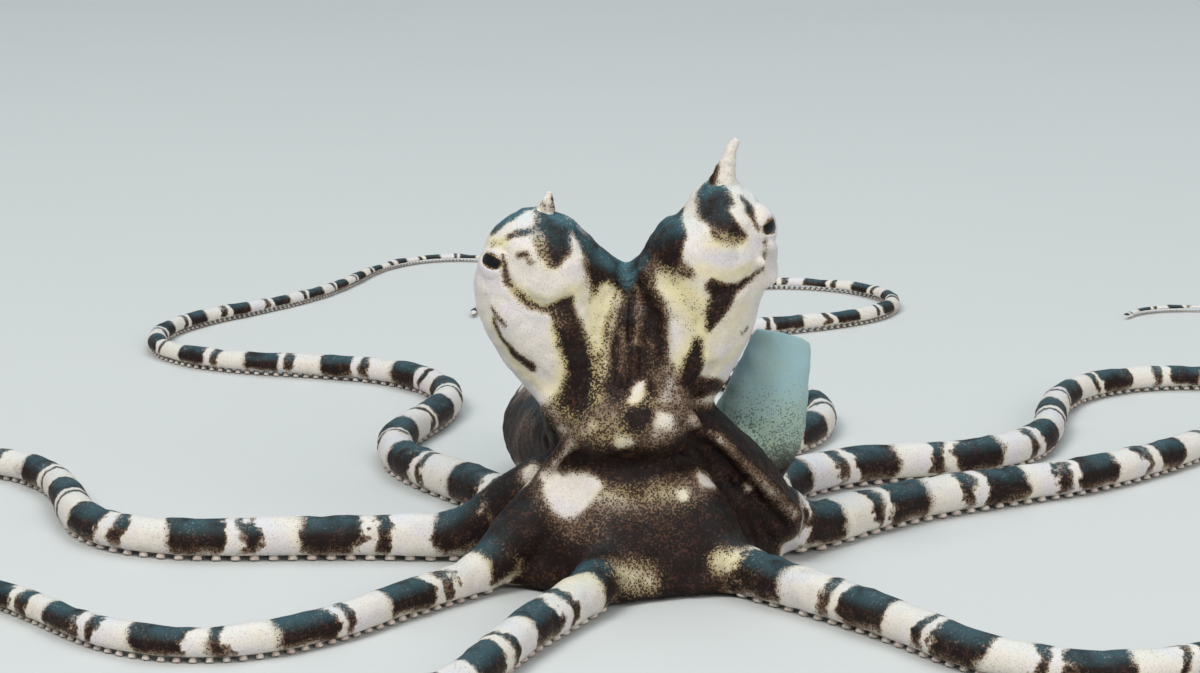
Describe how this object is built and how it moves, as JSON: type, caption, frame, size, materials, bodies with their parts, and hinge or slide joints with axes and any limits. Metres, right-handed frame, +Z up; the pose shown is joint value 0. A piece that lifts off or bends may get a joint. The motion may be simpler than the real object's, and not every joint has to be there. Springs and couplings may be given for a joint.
{
  "type": "mimic octopus",
  "caption": "Banded brown and cream octopus at rest on a floor, eyes raised on horned stalks, mantle laid behind, arms spread in loose curves.",
  "frame": {"origin": "on the floor under the middle of the arm crown, between the eyes seen from the front", "axes": "+X to the side of the right-hand eye stalk as seen from the face, +Y from the face back along the mantle, +Z up; the floor is Z = 0"},
  "size_m": [0.3165, 0.2843, 0.0443],
  "materials": {
    "skin": "soft wet skin, dark brown and cream bands broken up by fine dots",
    "siphon": "thin, half see-through pale green skin with dark dots towards its root",
    "horn": "matt pinkish-white warty skin",
    "eye": "clear wet eye, golden brown with a black bar-shaped pupil"
  },
  "bodies": {
    "root": {"arm_crown": "skin", "head": "skin", "eye_stalk_left": "skin", "eye_stalk_right": "skin", "horn_left": "horn", "horn_right": "horn", "eye_left": "eye", "eye_right": "eye", "arm_left_1_base": "skin", "arm_left_1_middle": "skin", "arm_left_1_tip": "skin", "arm_left_2_base": "skin", "arm_left_2_middle": "skin", "arm_left_2_tip": "skin", "arm_left_3_base": "skin", "arm_left_3_middle": "skin", "arm_left_3_tip": "skin", "arm_left_4_base": "skin", "arm_left_4_middle": "skin", "arm_left_4_tip": "skin", "arm_right_1_base": "skin", "arm_right_1_middle": "skin", "arm_right_1_tip": "skin", "arm_right_2_base": "skin", "arm_right_2_middle": "skin", "arm_right_2_tip": "skin", "arm_right_3_base": "skin", "arm_right_3_middle": "skin", "arm_right_3_tip": "skin", "arm_right_4_base": "skin", "arm_right_4_middle": "skin", "arm_right_4_tip": "skin", "mantle": "skin", "siphon": "siphon"}
  },
  "joints": []
}
